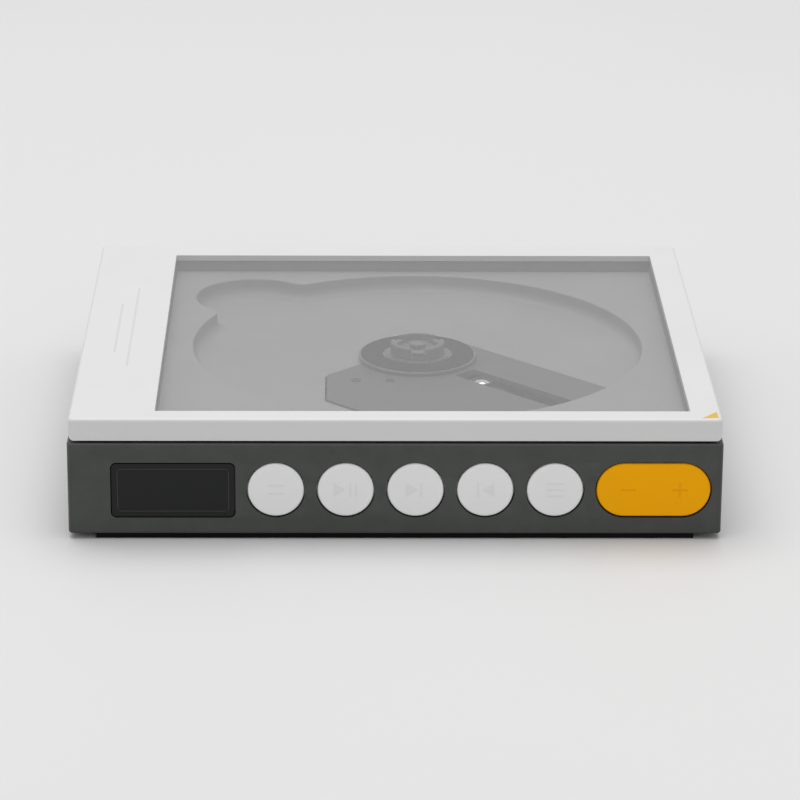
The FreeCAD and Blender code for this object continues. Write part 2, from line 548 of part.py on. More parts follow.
# ---- boards, power and sockets ------------------------------------------------------------------------
def build_boards():
    board = new_body("main_board")
    box(board, ("board_left", "board_front", "board_level"), ("board_right", "board_back", BOARD_TOP))
    soften(board, "board_corner", lambda edge: straight(edge, "z"))
    for radius, places in (("board_hole", STANDOFFS), ("boss_room", DECK_BOSSES[1::2])):
        for x, y in places:
            rod(board, radius, "board_sheet + 2*overrun", (x, y, "board_level - overrun"), cut=True)
    group("board_chips", [loose_box((x + " - " + half, y + " - " + half, BOARD_TOP),
                                    (x + " + " + half, y + " + " + half, BOARD_TOP + " + chip_tall"))
                          for x, y, half in CHIPS])
    group("board_capacitors", [loose_rod("can_radius", "can_tall", (x, y, BOARD_TOP)) for x, y in CAPACITORS])
    screws = []
    for x, y in STANDOFFS:
        screw = doc.addObject("Part::Fuse", "screw")
        screw.Base = loose_rod("board_screw", "board_screw_deep + board_sheet",
                               (x, y, "board_level - board_screw_deep"))
        screw.Tool = loose_rod("board_head", "board_head_tall", (x, y, BOARD_TOP))
        screws.append(screw)
    group("board_screws", screws)
    battery = new_body("battery")
    box(battery, ("battery_left", "-battery_half", "battery_base"),
        ("battery_right", "battery_half", "battery_top"))
    soften(battery, "battery_round", lambda edge: True)


def build_sockets():
    jack = new_body("headphone_jack")
    box(jack, ("jack_x - jack_half", "jack_front", BOARD_TOP),
        ("jack_x + jack_half", "jack_back", "port_level + jack_up"))
    rod(jack, "jack_collar", "jack_collar_long", ("jack_x", "jack_back", "port_level"), ALONG_Y)
    bore_start = "jack_back + jack_collar_long - jack_bore"
    rod(jack, "jack_radius", "jack_bore", ("jack_x", bore_start, "port_level"), ALONG_Y, cut=True)
    port = new_body("usb_c_port")
    centre = ("port_x", "port_level")
    stadium(port, "port_long", "port_tall", centre, "port_front", "port_back")
    stadium(port, "port_inner_long", "port_inner_tall", centre, "port_front + port_wall",
            "port_back + overrun", cut=True)
    root = "port_front + port_wall/2"
    box(port, ("port_x - tongue_half", root, "port_level - tongue_sheet/2"),
        ("port_x + tongue_half", "tongue_back", "port_level + tongue_sheet/2"))
    box(port, ("port_x - port_foot_half", root, BOARD_TOP),
        ("port_x + port_foot_half", "port_foot_back", "port_level - port_foot_drop"))


def build_fasteners_and_feet():
    screws = []
    for x, y in DECK_BOSSES:
        screw = doc.addObject("Part::Fuse", "screw")
        screw.Base = loose_rod("case_screw", "case_screw_long", (x, y, "case_head_base + case_head_tall"))
        screw.Tool = loose_rod("case_head", "case_head_tall", (x, y, "case_head_base"))
        screws.append(screw)
    group("case_screws", screws)
    strips = [loose_box(("-foot_long/2", low, "0"), ("foot_long/2", low + " + foot_wide", "foot_height"))
              for low in ("foot_inset - case_depth/2", "case_depth/2 - foot_inset - foot_wide")]
    group("rubber_feet", strips)


# ---- drive mechanism ----------------------------------------------------------------------------------
def build_traverse():
    solids = [mechanism_outline("plate_outline", PLATE_UNDER, "plate_sheet", "0", "plate_radius")]
    inside_plate = PLATE_UNDER + " + plate_sheet/2"
    for low, high in (("main_beam_near", "main_beam_far"), ("side_beam_far", "side_beam_near")):
        solids.append(loose_box(("beam_start", low, "beam_low"), ("beam_end", high, "beam_high")))
        solids.append(loose_box(("web_start", low, "beam_high"), ("web_end", high, inside_plate)))
    for start, end in (("near_block", "near_block_end"), ("far_block", "beam_end")):
        solids.append(loose_box((start, "side_beam_far", "beam_low"), (end, "main_beam_far", "block_high")))
    for left, low, right, high in EAR_PLATES:
        solids.append(loose_box((left, low, "ear_low"), (right, high, "ear_high")))
    for left, low, right, high in EAR_WEBS:
        solids.append(loose_box((left, low, "ear_high"), (right, high, inside_plate)))
    below = PLATE_UNDER + " - overrun"
    screw_axis = ("screw_start", "screw_line", "screw_level")
    holes = [loose_rod("bush_hole", "ear_high - ear_low + 2*overrun", (x, y, "ear_low - overrun"))
             for x, y in EAR_CENTRES]
    holes.append(loose_box(("slot_start", "-slot_half", below),
                           ("plate_radius + overrun", "slot_half", "plate_level + overrun")))
    holes.append(loose_rod("plate_hole", "plate_sheet + 2*overrun", ("0", "0", below)))
    for line in ("main_rod", "side_rod"):
        holes.append(loose_rod("rod_radius + pin_press", "rod_long + 2*rod_end_room",
                               ("rod_start - rod_end_room", line, "rod_level"), ALONG_X))
    holes.append(loose_rod("screw_radius + screw_play", "beam_end + overrun - screw_start", screw_axis,
                           ALONG_X))
    holes.append(loose_rod("motor_room", "motor_room_long", ("motor_room_start", "screw_line", "screw_level"),
                           ALONG_X))
    onto_travel(carved("traverse_frame", solids, holes))
    for name, line in (("guide_rod_main", "main_rod"), ("guide_rod_side", "side_rod")):
        guide = new_body(name)
        rod(guide, "rod_radius", "rod_long", ("rod_start", line, "rod_level"), ALONG_X)
        onto_travel(guide)
    bushes = []
    for x, y in EAR_CENTRES:
        bush = doc.addObject("Part::Cut", "bush")
        barrel = doc.addObject("Part::MultiFuse", "barrel")
        barrel.Shapes = [loose_rod("bush_radius", "bush_tall", (x, y, "bush_base")),
                         loose_rod("bush_rim", "bush_rim_low", (x, y, "bush_base")),
                         loose_rod("bush_rim", "bush_rim_high",
                                   (x, y, "bush_base + bush_tall - bush_rim_high"))]
        bush.Base = barrel
        bush.Tool = loose_rod("bush_bore", "bush_tall + 2*overrun", (x, y, "bush_base - overrun"))
        bushes.append(bush)
    onto_travel(group("damper_bushes", bushes))
    screws = []
    for x, y in EAR_CENTRES:
        screw = doc.addObject("Part::Fuse", "screw")
        screw.Base = loose_rod("damper_screw", "damper_screw_long", (x, y, "damper_screw_base"))
        screw.Tool = loose_rod("damper_head", "damper_head_tall", (x, y, "damper_screw_base"))
        screws.append(screw)
    onto_travel(group("damper_screws", screws))


def build_spindle():
    steps = (("motor_radius", "motor_tall", " - motor_drop"),
             ("motor_shoulder", "motor_drop - motor_tall", " - motor_drop + motor_tall"),
             ("motor_boss", "motor_boss_tall", ""))
    onto_travel(carved("spindle_motor", [loose_rod(radius, tall, ("0", "0", PLATE_UNDER + base))
                                         for radius, tall, base in steps],
                       [loose_rod("shaft_radius + shaft_play", "motor_bore + motor_boss_tall + overrun",
                                  ("0", "0", PLATE_UNDER + " - motor_bore"))]))
    shaft = new_body("motor_shaft")
    rod(shaft, "shaft_radius", "shaft_long", ("0", "0", "shaft_base"))
    onto_travel(shaft)
    platter = new_body("turntable")
    rod(platter, "platter_radius", "platter_top - platter_base", ("0", "0", "platter_base"))
    soften(platter, "platter_edge", lambda edge: True)
    rod(platter, "platter_boss", "platter_boss_tall", ("0", "0", "platter_base - platter_boss_tall"))
    rod(platter, "shaft_radius + pin_press", "platter_top - platter_base + platter_boss_tall + 2*overrun",
        ("0", "0", "platter_base - platter_boss_tall - overrun"), cut=True)
    onto_travel(platter)
    onto_travel(carved("platter_ring", [loose_rod("mat_outer", "mat_sheet", ("0", "0", "platter_top"))],
                       [loose_rod("mat_inner", "mat_sheet + 2*overrun",
                                  ("0", "0", "platter_top - overrun"))]))


def build_hub():
    hub = new_body("centre_hub")
    rod(hub, "hub_radius + hub_skirt", "hub_base - platter_top", ("0", "0", "platter_top"))
    rod(hub, "hub_radius", "hub_top - hub_base", ("0", "0", "hub_base"))
    soften(hub, "hub_edge", lambda edge: near(edge.BoundBox.ZMin, "hub_top"))
    rod(hub, "hub_radius - hub_wall", "hub_dish + overrun", ("0", "0", "hub_top - hub_dish"), cut=True)
    rod(hub, "hub_boss", "hub_boss_tall", ("0", "0", "hub_top - hub_dish"))
    rod(hub, "shaft_radius + pin_press", "hub_bore + overrun", ("0", "0", "platter_top - overrun"), cut=True)
    slot = box(hub, ("hub_radius - claw_slot_deep", "-claw_half - claw_gap", "hub_base + claw_slot_base"),
               ("hub_radius + overrun", "claw_half + claw_gap", "hub_top + overrun"), cut=True)
    spread = hub.newObject("PartDesign::PolarPattern", "claw_slots")
    spread.Originals = [slot]
    axis = [item for item in hub.Origin.OriginFeatures if item.Role == "Z_Axis"][0]
    spread.Axis = (axis, [""])
    spread.Angle = 360
    spread.Occurrences = CLAWS
    hub.Tip = spread
    doc.recompute()
    onto_spindle(hub, FIRST_CLAW)
    for index in range(CLAWS):
        claw = new_body("hub_claw_%d" % (index + 1))
        box(claw, ("hub_radius - claw_back", "-claw_half", "hub_base + claw_base"),
            ("hub_radius - claw_sink", "claw_half", "hub_top - claw_drop"))
        soften(claw, "claw_edge",
               lambda edge: straight(edge, "y") and near(edge.BoundBox.XMin, "hub_radius - claw_sink"))
        box(claw, ("hub_radius - toe_back", "-claw_half + toe_in", "hub_base + toe_low"),
            ("hub_radius - toe_sink", "claw_half - toe_in", "hub_base + toe_high"))
        onto_spindle(claw, FIRST_CLAW + 360 / CLAWS * index)


def build_pickup():
    solids = [loose_box(("sled_start", "sled_near_side", "sled_base"),
                        ("sled_end", "sled_far_side", "sled_top")),
              loose_box(("nut_start", "nut_side", "nut_base"),
                        ("nut_end", "sled_near_side + overrun", "nut_top"))]
    holes = [loose_rod("rod_radius + rod_play", "sled_end - sled_start + 2*overrun",
                       ("sled_start - overrun", line, "rod_level"), ALONG_X)
             for line in ("main_rod", "side_rod")]
    holes.append(loose_rod("screw_radius + nut_play", "nut_end - nut_start + 2*overrun",
                           ("nut_start - overrun", "screw_line", "screw_level"), ALONG_X))
    holes.append(loose_rod("lens_well", "sled_top - lens_well_base + overrun",
                           ("lens_place", "0", "lens_well_base")))
    onto_travel(carved("pickup_sled", solids, holes))
    cup = loose_rod("holder_radius", "holder_tall", ("lens_place", "0", "holder_base"))
    seat = loose_rod("holder_bore", "holder_base + holder_tall - holder_seat + overrun",
                     ("lens_place", "0", "holder_seat"))
    onto_travel(carved("lens_holder", [cup], [seat]))
    ball = doc.addObject("Part::Sphere", "ball")
    ball.setExpression("Radius", bound("lens_sphere"))
    put(ball, ("lens_place", "0", "lens_top - lens_sphere"))
    lens = doc.addObject("Part::Common", "objective_lens")
    lens.Label = "objective_lens"
    lens.Base = ball
    lens.Tool = loose_rod("lens_radius", "lens_top - lens_base + overrun", ("lens_place", "0", "lens_base"))
    pieces.append(lens)
    onto_travel(lens)
    bore = "sled_motor_start + sled_motor_long - screw_start + 2*overrun"
    onto_travel(carved("sled_motor", [loose_rod("sled_motor_radius", "sled_motor_long",
                                                ("sled_motor_start", "screw_line", "screw_level"), ALONG_X)],
                       [loose_rod("screw_radius + screw_play", bore,
                                  ("screw_start - overrun", "screw_line", "screw_level"), ALONG_X)]))
    screw = new_body("lead_screw")
    rod(screw, "screw_radius", "screw_long", ("screw_start", "screw_line", "screw_level"), ALONG_X)
    tooth = thread_groove(screw)
    rows = screw.newObject("PartDesign::LinearPattern", "thread")
    rows.Originals = [tooth]
    axis = [item for item in screw.Origin.OriginFeatures if item.Role == "X_Axis"][0]
    rows.Direction = (axis, [""])
    rows.setExpression("Length", bound("thread_pitch * %d" % (THREADS - 1)))
    rows.Occurrences = THREADS
    screw.Tip = rows
    doc.recompute()
    onto_travel(screw)


def thread_groove(screw):
    """One shallow ring groove; a row of them stands for the screw's thread."""
    plane = [item for item in screw.Origin.OriginFeatures if item.Role == "XZ_Plane"][0]
    sketch = screw.newObject("Sketcher::SketchObject", "groove_outline")
    sketch.AttachmentSupport = (plane, [""])
    sketch.MapMode = "FlatFace"
    sketch.setExpression("AttachmentOffset.Base.z", bound("-screw_line"))
    low = "screw_level + screw_radius - thread_deep"
    high = "screw_level + screw_radius + thread_rise"
    polygon(sketch, (("thread_start", high), ("thread_start + thread_slope", low),
                     ("thread_start + thread_slope + thread_flat", low),
                     ("thread_start + 2*thread_slope + thread_flat", high)))
    ends = ("screw_start", "screw_start + screw_long")
    level = size("screw_level")
    line = Part.LineSegment(*[Vector(size(end), level, 0) for end in ends])
    axis_line = sketch.addGeometry(line, True)
    for point, end in enumerate(ends, start=1):
        for kind, words in (("DistanceX", end), ("DistanceY", "screw_level")):
            number = sketch.addConstraint(Sketcher.Constraint(kind, -1, 1, axis_line, point, size(words)))
            sketch.setExpression("Constraints[%d]" % number, bound(words))
    groove = screw.newObject("PartDesign::Groove", "groove")
    groove.Profile = sketch
    groove.ReferenceAxis = (sketch, ["Axis0"])
    groove.Angle = 360
    doc.recompute()
    return groove


# ---- the whole player ---------------------------------------------------------------------------------
def write_parts():
    doc.recompute()
    for item in doc.Objects:
        if "Invalid" in item.State or "Error" in item.State:
            raise RuntimeError("%s (%s) did not build: %s" % (item.Name, item.Label, item.State))
    os.makedirs("parts", exist_ok=True)
    for piece in pieces:
        if piece.Shape.isNull() or not piece.Shape.isValid():
            raise RuntimeError(piece.Label + " has no valid shape")
        piece.Shape.exportStep("parts/%s.step" % piece.Label)
    print(len(pieces), "nodes")


build_bottom_shell()
build_opened_deck()
build_lid_frame()
build_lid_details()
build_buttons()
build_volume()
build_front_board()
build_display()
build_boards()
build_sockets()
build_fasteners_and_feet()
build_traverse()
build_spindle()
build_hub()
build_pickup()
write_parts()
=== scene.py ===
import json
import math

import bmesh
import bpy
from mathutils import Matrix, Vector


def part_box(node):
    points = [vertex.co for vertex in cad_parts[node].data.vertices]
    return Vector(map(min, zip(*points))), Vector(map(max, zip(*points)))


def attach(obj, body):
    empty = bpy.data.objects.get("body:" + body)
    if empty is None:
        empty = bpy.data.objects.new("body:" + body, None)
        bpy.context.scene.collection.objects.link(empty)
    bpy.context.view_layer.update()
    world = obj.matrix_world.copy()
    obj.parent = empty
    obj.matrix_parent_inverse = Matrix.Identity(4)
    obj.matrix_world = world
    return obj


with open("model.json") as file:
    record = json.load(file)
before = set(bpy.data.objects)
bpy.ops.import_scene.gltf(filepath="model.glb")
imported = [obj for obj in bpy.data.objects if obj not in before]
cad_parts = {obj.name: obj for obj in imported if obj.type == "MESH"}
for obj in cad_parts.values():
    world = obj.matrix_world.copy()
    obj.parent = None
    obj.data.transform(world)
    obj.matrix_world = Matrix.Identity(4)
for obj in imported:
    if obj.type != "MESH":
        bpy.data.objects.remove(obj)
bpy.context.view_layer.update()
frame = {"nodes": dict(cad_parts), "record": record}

MM = 0.001
SKIN = 0.01 * MM
ACROSS = Vector((1, 0, 0))
BACK = Vector((0, 1, 0))
UP = Vector((0, 0, 1))
FRONT = -BACK

# the span of a noise that is worth stretching, and how uneven a plastic's sheen is
NOISE_MIDDLE = (0.3, 0.7)
DRIFT_SCALE = 35.0
SHEEN_SCALE = 90.0
SHEEN_SPREAD = (-0.04, 0.05)
# pointiness at which an edge starts to look rubbed and carry a painted highlight, and at which it is fully so
RUBBED_AND_LIT = (0.52, 0.62)
EDGE_BREAKUP_SCALE = 220.0
STREAK_STRETCH = (1.0, 1.0, 12.0)
STREAK_SPREAD = (-0.05, 0.08)
STREAK_DEPTH = 0.004 * MM
PLASTIC_IOR = 1.49
TRACKS_PER_METRE = 180.0
TRACK_WIDTH = 0.03
TRACK_HEIGHT = 0.01 * MM


# ---- materials ----------------------------------------------------------------------------------------
def new_material(name, roughness, metallic=0.0, **sockets):
    """A Principled material whose plain values sit on its own sockets."""
    material = bpy.data.materials.new(name)
    material.use_nodes = True
    shader = material.node_tree.nodes["Principled BSDF"]
    shader.inputs["Roughness"].default_value = roughness
    shader.inputs["Metallic"].default_value = metallic
    for socket, value in sockets.items():
        shader.inputs[socket.replace("_", " ")].default_value = value
    return material, material.node_tree, shader


def noise(tree, scale, detail=4.0, stretch=(1.0, 1.0, 1.0)):
    """Noise in the piece's own metres; scale is in features per metre."""
    place = tree.nodes.new("ShaderNodeTexCoord")
    mapping = tree.nodes.new("ShaderNodeMapping")
    mapping.inputs["Scale"].default_value = stretch
    texture = tree.nodes.new("ShaderNodeTexNoise")
    texture.inputs["Scale"].default_value = scale
    texture.inputs["Detail"].default_value = detail
    tree.links.new(place.outputs["Object"], mapping.inputs["Vector"])
    tree.links.new(mapping.outputs["Vector"], texture.inputs["Vector"])
    return texture.outputs["Fac"]


def remap(tree, value, low, high):
    """The middle of a noise spread between two values."""
    node = tree.nodes.new("ShaderNodeMapRange")
    node.inputs["From Min"].default_value = NOISE_MIDDLE[0]
    node.inputs["From Max"].default_value = NOISE_MIDDLE[1]
    node.inputs["To Min"].default_value = low
    node.inputs["To Max"].default_value = high
    tree.links.new(value, node.inputs["Value"])
    return node.outputs["Result"]


def tinted(tree, factor, dark, light):
    """A mix of two colours by a factor."""
    node = tree.nodes.new("ShaderNodeMix")
    node.data_type = "RGBA"
    node.inputs["A"].default_value = (*dark, 1.0)
    node.inputs["B"].default_value = (*light, 1.0)
    tree.links.new(factor, node.inputs["Factor"])
    return node.outputs["Result"]


def bump(tree, shader, heights, distance):
    """Relief of a height in metres on a shader."""
    node = tree.nodes.new("ShaderNodeBump")
    node.inputs["Distance"].default_value = distance
    tree.links.new(heights, node.inputs["Height"])
    tree.links.new(node.outputs["Normal"], shader.inputs["Normal"])


def shade(colour, factor):
    """The colour made darker or lighter."""
    return tuple(min(1.0, channel * factor) for channel in colour)


def moulded(name, colour, roughness, grain=2600.0, depth=0.006 * MM, vary=0.05, wear_and_highlight=0.0, **sockets):
    """Moulded or painted plastic: fine spark-eroded grain, slow colour drift, uneven sheen, lighter edges of
    rubbed wear and painted highlight.
    """
    material, tree, shader = new_material(name, roughness, **sockets)
    drift = remap(tree, noise(tree, DRIFT_SCALE, 3.0), 0.0, 1.0)
    colours = tinted(tree, drift, shade(colour, 1 - vary), shade(colour, 1 + vary))
    # lighter edges: partly rubbed wear, partly a painted highlight along the edges
    if wear_and_highlight:
        colours = edge_wear_and_highlight(tree, colours, colour, wear_and_highlight)
    tree.links.new(colours, shader.inputs["Base Color"])
    smoothest, roughest = (roughness + spread for spread in SHEEN_SPREAD)
    tree.links.new(remap(tree, noise(tree, SHEEN_SCALE, 5.0), smoothest, roughest),
                   shader.inputs["Roughness"])
    bump(tree, shader, noise(tree, grain, 2.0), depth)
    return material


def edge_wear_and_highlight(tree, colours, colour, amount):
    """Rubbed edges that also carry a painted highlight, a little lighter and broken up by noise."""
    geometry = tree.nodes.new("ShaderNodeNewGeometry")
    rubbed_and_lit = tree.nodes.new("ShaderNodeMapRange")
    rubbed_and_lit.inputs["From Min"].default_value = RUBBED_AND_LIT[0]
    rubbed_and_lit.inputs["From Max"].default_value = RUBBED_AND_LIT[1]
    rubbed_and_lit.inputs["To Max"].default_value = amount
    tree.links.new(geometry.outputs["Pointiness"], rubbed_and_lit.inputs["Value"])
    broken = tree.nodes.new("ShaderNodeMath")
    broken.operation = "MULTIPLY"
    tree.links.new(rubbed_and_lit.outputs["Result"], broken.inputs[0])
    tree.links.new(remap(tree, noise(tree, EDGE_BREAKUP_SCALE), 0.2, 1.0), broken.inputs[1])
    node = tree.nodes.new("ShaderNodeMix")
    node.data_type = "RGBA"
    node.inputs["B"].default_value = (*shade(colour, 1.0 + amount), 1.0)
    tree.links.new(broken.outputs["Value"], node.inputs["Factor"])
    tree.links.new(colours, node.inputs["A"])
    return node.outputs["Result"]


def metal(name, colour, roughness, lines=900.0):
    """Bare metal with drawn or turned lines."""
    material, tree, shader = new_material(name, roughness, 1.0)
    streaks = noise(tree, lines, 3.0, STREAK_STRETCH)
    tree.links.new(tinted(tree, remap(tree, streaks, 0.0, 1.0), shade(colour, 0.9), colour),
                   shader.inputs["Base Color"])
    smoothest, roughest = (roughness + spread for spread in STREAK_SPREAD)
    tree.links.new(remap(tree, streaks, smoothest, roughest), shader.inputs["Roughness"])
    bump(tree, shader, streaks, STREAK_DEPTH)
    return material


def veiled_clear_sheet(name, colour, alpha):
    """Polished clear sheet with a faint uneven gloss; its pale colour at a small share of cover is a painted
    reflection, a milky veil over what lies beneath.
    """
    material, tree, shader = new_material(name, 0.04, Alpha=alpha, IOR=PLASTIC_IOR)
    # the pale base colour paints the veil of light reflected off the window
    tree.links.new(tinted(tree, remap(tree, noise(tree, 8.0), 0.0, 1.0), shade(colour, 0.985), colour),
                   shader.inputs["Base Color"])
    tree.links.new(remap(tree, noise(tree, 60.0, 5.0), 0.03, 0.07), shader.inputs["Roughness"])
    return material


def board_material(name, colour):
    """Solder mask with faint copper tracks under it."""
    material, tree, shader = new_material(name, 0.35)
    place = tree.nodes.new("ShaderNodeTexCoord")
    tracks = tree.nodes.new("ShaderNodeTexBrick")
    tracks.inputs["Scale"].default_value = TRACKS_PER_METRE
    tracks.inputs["Mortar Size"].default_value = TRACK_WIDTH
    tracks.inputs["Color1"].default_value = (*colour, 1.0)
    tracks.inputs["Color2"].default_value = (*shade(colour, 0.85), 1.0)
    tracks.inputs["Mortar"].default_value = (*shade(colour, 1.7), 1.0)
    tree.links.new(place.outputs["Object"], tracks.inputs["Vector"])
    tree.links.new(tracks.outputs["Color"], shader.inputs["Base Color"])
    bump(tree, shader, tracks.outputs["Fac"], TRACK_HEIGHT)
    return material


# the wear amounts below also paint a highlight along each plastic's edges
MATERIALS = {
    "dark_case": moulded("dark_case", (0.048, 0.052, 0.048), 0.46, depth=0.010 * MM, wear_and_highlight=0.6,
                         Specular_IOR_Level=0.35),
    "deck_plastic": moulded("deck_plastic", (0.25, 0.25, 0.25), 0.5, depth=0.008 * MM),
    "lid_plastic": moulded("lid_plastic", (0.675, 0.675, 0.675), 0.38, grain=3400.0, depth=0.004 * MM,
                           vary=0.012, wear_and_highlight=0.05),
    # the window's pale grey at 0.17 cover is painted reflection
    "clear_window": veiled_clear_sheet("clear_window", (0.72, 0.72, 0.72), 0.17),
    "button_plastic": moulded("button_plastic", (0.835, 0.832, 0.835), 0.42, vary=0.01, wear_and_highlight=0.25),
    "orange_plastic": moulded("orange_plastic", (0.95, 0.42, 0.0), 0.45, vary=0.02, wear_and_highlight=0.25,
                              Specular_IOR_Level=0.08),
    "display_black": moulded("display_black", (0.0095, 0.0098, 0.0098), 0.09, grain=400.0, depth=0.0005 * MM,
                             Specular_IOR_Level=0.22),
    "rubber_black": moulded("rubber_black", (0.006, 0.006, 0.006), 0.8, grain=1500.0, depth=0.02 * MM,
                            vary=0.15, Specular_IOR_Level=0.1),
    "bright_steel": metal("bright_steel", (0.62, 0.62, 0.63), 0.2),
    "brushed_steel": metal("brushed_steel", (0.45, 0.45, 0.46), 0.34),
    "board_green": board_material("board_green", (0.012, 0.09, 0.045)),
    "chip_black": moulded("chip_black", (0.02, 0.02, 0.021), 0.55, grain=3000.0, vary=0.1),
    "battery_wrap": moulded("battery_wrap", (0.07, 0.12, 0.24), 0.3, grain=300.0, depth=0.03 * MM),
    "mechanism_plastic": moulded("mechanism_plastic", (0.075, 0.076, 0.078), 0.5, grain=1800.0,
                                 depth=0.012 * MM, vary=0.08),
    "platter_plastic": moulded("platter_plastic", (0.10, 0.10, 0.102), 0.36, vary=0.05, wear_and_highlight=0.4),
    "lens_glass": metal("lens_glass", (0.93, 0.95, 0.98), 0.08, lines=60.0),
    "magnet_metal": metal("magnet_metal", (0.5, 0.5, 0.52), 0.25),
    "brass_screw": metal("brass_screw", (0.72, 0.53, 0.24), 0.3),
}
SLOT_OF = {entry["node"]: entry["material_slot"] for entry in frame["record"]["subparts"]}


def paint_frame():
    """Every CAD node takes its slot's material."""
    for node, piece in frame["nodes"].items():
        material = MATERIALS[SLOT_OF[node]]
        if not piece.material_slots:
            piece.data.materials.append(material)
        for place in piece.material_slots:
            place.material = material


# ---- small pieces -------------------------------------------------------------------------------------
def finish_piece(mesh, name, body, slot_name, material=None):
    """Turns a bmesh into a piece that rides on a body and takes a slot's finish."""
    bmesh.ops.recalc_face_normals(mesh, faces=mesh.faces)
    data = bpy.data.meshes.new(name)
    mesh.to_mesh(data)
    mesh.free()
    data.materials.append(material or MATERIALS[slot_name])
    piece = bpy.data.objects.new(name, data)
    bpy.context.scene.collection.objects.link(piece)
    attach(piece, body)


def prism(mesh, outline, across, up, out, origin, thickness):
    """A closed prism over an outline given along two directions."""
    back = [mesh.verts.new(origin + across * x + up * y) for x, y in outline]
    front = [mesh.verts.new(vertex.co + out * thickness) for vertex in back]
    mesh.faces.new(back)
    mesh.faces.new(front)
    close_loops(mesh, [back, front])


def close_loops(mesh, loops):
    """Faces between each loop of vertexes and the next."""
    count = len(loops[0])
    for first, second in zip(loops, loops[1:]):
        for index in range(count):
            following = (index + 1) % count
            mesh.faces.new((first[index], first[following], second[following], second[index]))


def corners_of(node):
    """The lowest and highest corners of a node, as vectors."""
    return [Vector(corner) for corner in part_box(node)]


def in_metres(outline):
    return [(x * MM, y * MM) for x, y in outline]


def shifted(points, dx, dy=0.0):
    """An outline moved sideways and up."""
    return [(x + dx, y + dy) for x, y in points]


LEAST_FLAT = 1e-4


def bar_outline(wide, tall, corner=0.25, steps=4):
    """A rectangle with round corners."""
    corner = min(corner, wide / 2 - LEAST_FLAT, tall / 2 - LEAST_FLAT)
    points = []
    for quarter, (sx, sy) in enumerate(((1, 1), (-1, 1), (-1, -1), (1, -1))):
        for step in range(steps + 1):
            angle = math.radians(90 * quarter + 90 * step / steps)
            points.append((sx * (wide / 2 - corner) + corner * math.cos(angle),
                           sy * (tall / 2 - corner) + corner * math.sin(angle)))
    return points


def plus_outline(long, wide):
    """One closed outline of a plus sign."""
    arm, half = long / 2, wide / 2
    quarter = ((arm, -half), (arm, half), (half, half))
    points = []
    for turn in range(4):
        angle = math.radians(90 * turn)
        points += [(x * math.cos(angle) - y * math.sin(angle), x * math.sin(angle) + y * math.cos(angle))
                   for x, y in quarter]
    return points


def triangle_outline(reach, half, sign=1):
    """A triangle that points right, or left for a sign of -1."""
    return [(-sign * reach / 2, -half), (sign * reach / 2, 0.0), (-sign * reach / 2, half)]


# how deep a symbol starts in its control's face and how thick it is, then the symbols' own sizes in mm
SYMBOL_SINK = 0.01 * MM
SYMBOL_SHEET = 0.05 * MM
BAR_WIDE = 0.5
POST = (0.55, 4.0)
ARROW = (3.2, 2.0)
SIGN_LONG = 4.0
SIGN_WIDE = 0.55


def face_symbol(name, node, body, shapes, slot_name, material):
    """Shapes that stand a hair proud of a control's front face; shapes are outlines in millimetres."""
    low, high = corners_of(node)
    centre = (low + high) / 2
    centre.y = low.y + SYMBOL_SINK
    mesh = bmesh.new()
    for outline in shapes:
        prism(mesh, in_metres(outline), ACROSS, UP, FRONT, centre, SYMBOL_SHEET)
    finish_piece(mesh, name, body, slot_name, material)


def build_symbols():
    """Plain generic symbols on the buttons and the rocker, hardly darker than what they stand on."""
    pale = moulded("symbol_grey", (0.775, 0.775, 0.775), 0.35, vary=0.01)
    amber = moulded("symbol_amber", (0.86, 0.36, 0.0), 0.4, vary=0.02, Specular_IOR_Level=0.1)
    symbols = (
        ("mode", [shifted(bar_outline(4.4, BAR_WIDE), 0, height) for height in (-1.1, 1.1)]),
        ("play_pause", [shifted(triangle_outline(*ARROW), -1.6), shifted(bar_outline(*POST), 1.2),
                        shifted(bar_outline(*POST), 2.7)]),
        ("next", [shifted(triangle_outline(*ARROW), -0.9), shifted(bar_outline(*POST), 1.5)]),
        ("previous", [shifted(triangle_outline(*ARROW, -1), 0.7), shifted(bar_outline(*POST), -1.8)]),
        ("list", [shifted(bar_outline(4.8, BAR_WIDE), 0, height) for height in (-1.7, 0.0, 1.7)]),
    )
    for number, (word, shapes) in enumerate(symbols, start=1):
        face_symbol("symbol_" + word, "button_%d" % number, "button_%d_body" % number, shapes,
                    "button_plastic", pale)
    face_symbol("symbol_minus_plus", "volume_rocker", "rocker",
                [shifted(bar_outline(SIGN_LONG, SIGN_WIDE), -6.4),
                 shifted(plus_outline(SIGN_LONG, SIGN_WIDE), 6.8)],
                "orange_plastic", amber)


# the corner mark's three corners from the lid's front right corner, and each rule's distance from the
# lid's left edge and its two ends from the lid's middle, in mm
CORNER_MARK = ((-5.4, 0.95), (-0.95, 1.4), (-1.2, 6.0))
RULES = (("rule_short", 8.9, -22.0, 19.5), ("rule_long", 12.8, -33.5, 34.2))
RULE_WIDE = 0.7
RULE_CORNER = 0.3


def build_lid_marks():
    """The corner mark and the two plain rules that stand where small print would be."""
    low, high = corners_of("lid_frame")
    amber = moulded("mark_amber", (0.70, 0.43, 0.05), 0.5, vary=0.02)
    mesh = bmesh.new()
    prism(mesh, in_metres(CORNER_MARK), ACROSS, BACK, UP, Vector((high.x, low.y, high.z)), SKIN)
    finish_piece(mesh, "corner_mark", "lid", "orange_plastic", amber)
    grey = moulded("rule_grey", (0.60, 0.60, 0.59), 0.5, vary=0.02)
    for name, inset, start, end in RULES:
        mesh = bmesh.new()
        outline = shifted(bar_outline(RULE_WIDE, end - start, RULE_CORNER), inset, (start + end) / 2)
        prism(mesh, in_metres(outline), ACROSS, BACK, UP, Vector((low.x, 0.0, high.z)), SKIN)
        finish_piece(mesh, name, "lid", "lid_plastic", grey)


HIGHLIGHT_INSET = 2.9 * MM
HIGHLIGHT_WIDE = 0.18 * MM
HIGHLIGHT_CORNERS = (1.0 * MM, 0.6 * MM)


